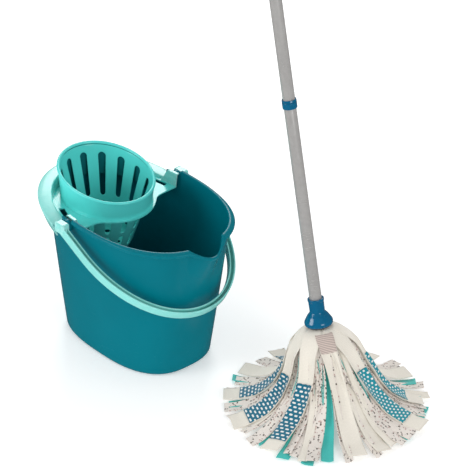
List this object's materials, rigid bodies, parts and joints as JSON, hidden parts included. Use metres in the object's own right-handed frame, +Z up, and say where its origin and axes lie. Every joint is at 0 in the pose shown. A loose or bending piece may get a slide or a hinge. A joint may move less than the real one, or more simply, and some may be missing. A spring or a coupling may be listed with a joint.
{
  "type": "strip mop with wringer bucket",
  "caption": "Oval mop bucket with a lift-out press wringer and swinging bail, and a strip mop on a screw-together handle.",
  "frame": {"origin": "centre of the bucket's base, on the floor", "axes": "+X along the bucket's long axis to its spout, +Y to the side that the mop stands on, +Z up"},
  "size_m": [0.7926, 0.4472, 1.3714],
  "materials": {
    "bucket_plastic": "smooth moulded teal",
    "mint_plastic": "smooth moulded mint",
    "blue_plastic": "glossy moulded teal blue",
    "dark_plastic": "matt moulded",
    "zinc_steel": "zinc plated",
    "coated_tube": "satin grey coating",
    "cream_strip": "nonwoven with a printed teal scrubbing patch",
    "speckled_strip": "nonwoven with grey and pink specks",
    "mint_strip": "plain nonwoven"
  },
  "bodies": {
    "bucket": {"bucket_shell": "bucket_plastic"},
    "wringer": {"wringer_insert": "mint_plastic"},
    "bail": {"bail_handle": "mint_plastic"},
    "mop_head": {"socket_bell": "blue_plastic", "strip_core": "dark_plastic", "clamp_disc": "dark_plastic", "clamp_screw": "zinc_steel", "outer_strip_1": "cream_strip", "outer_strip_2": "cream_strip", "outer_strip_3": "cream_strip", "outer_strip_4": "cream_strip", "outer_strip_5": "cream_strip", "outer_strip_6": "cream_strip", "outer_strip_7": "cream_strip", "outer_strip_8": "cream_strip", "outer_strip_9": "cream_strip", "outer_strip_10": "cream_strip", "outer_strip_11": "cream_strip", "outer_strip_12": "cream_strip", "middle_strip_1": "speckled_strip", "middle_strip_2": "speckled_strip", "middle_strip_3": "speckled_strip", "middle_strip_4": "speckled_strip", "middle_strip_5": "speckled_strip", "middle_strip_6": "speckled_strip", "middle_strip_7": "speckled_strip", "middle_strip_8": "speckled_strip", "middle_strip_9": "speckled_strip", "middle_strip_10": "speckled_strip", "middle_strip_11": "speckled_strip", "middle_strip_12": "speckled_strip", "inner_strip_1": "mint_strip", "inner_strip_2": "mint_strip", "inner_strip_3": "mint_strip", "inner_strip_4": "mint_strip", "inner_strip_5": "mint_strip", "inner_strip_6": "mint_strip", "inner_strip_7": "mint_strip", "inner_strip_8": "mint_strip"},
    "handle_lower": {"lower_tube": "coated_tube", "lower_plug": "dark_plastic", "lower_coupler": "blue_plastic"},
    "handle_middle": {"middle_tube": "coated_tube", "middle_plug": "dark_plastic", "middle_coupler": "blue_plastic"},
    "handle_upper": {"upper_tube": "coated_tube", "upper_plug": "dark_plastic", "end_grip": "blue_plastic"}
  },
  "joints": [
    {"name": "bail_swing", "type": "hinge", "parent": "bucket", "child": "bail", "pos_m": [-0.044, 0, 0.271], "axis": [0, -1, 0], "range_deg": [0, 190]},
    {"name": "wringer_lift", "type": "slide", "parent": "bucket", "child": "wringer", "axis": [0, 0, 1], "range_m": [0, 0.2]},
    {"name": "mop_lift", "type": "slide", "parent": "bucket", "child": "mop_head", "axis": [0, 0, 1], "range_m": [0, 0.4]},
    {"name": "lower_section_turn", "type": "hinge", "parent": "mop_head", "child": "handle_lower", "pos_m": [0.35715, 0.1112, 0.18542], "axis": [-0.2181, 0, 0.9759], "continuous": true},
    {"name": "middle_section_turn", "type": "hinge", "parent": "handle_lower", "child": "handle_middle", "pos_m": [0.27099, 0.1112, 0.57091], "axis": [-0.2181, 0, 0.9759], "continuous": true},
    {"name": "upper_section_turn", "type": "hinge", "parent": "handle_middle", "child": "handle_upper", "pos_m": [0.18482, 0.1112, 0.9564], "axis": [-0.2181, 0, 0.9759], "continuous": true}
  ]
}
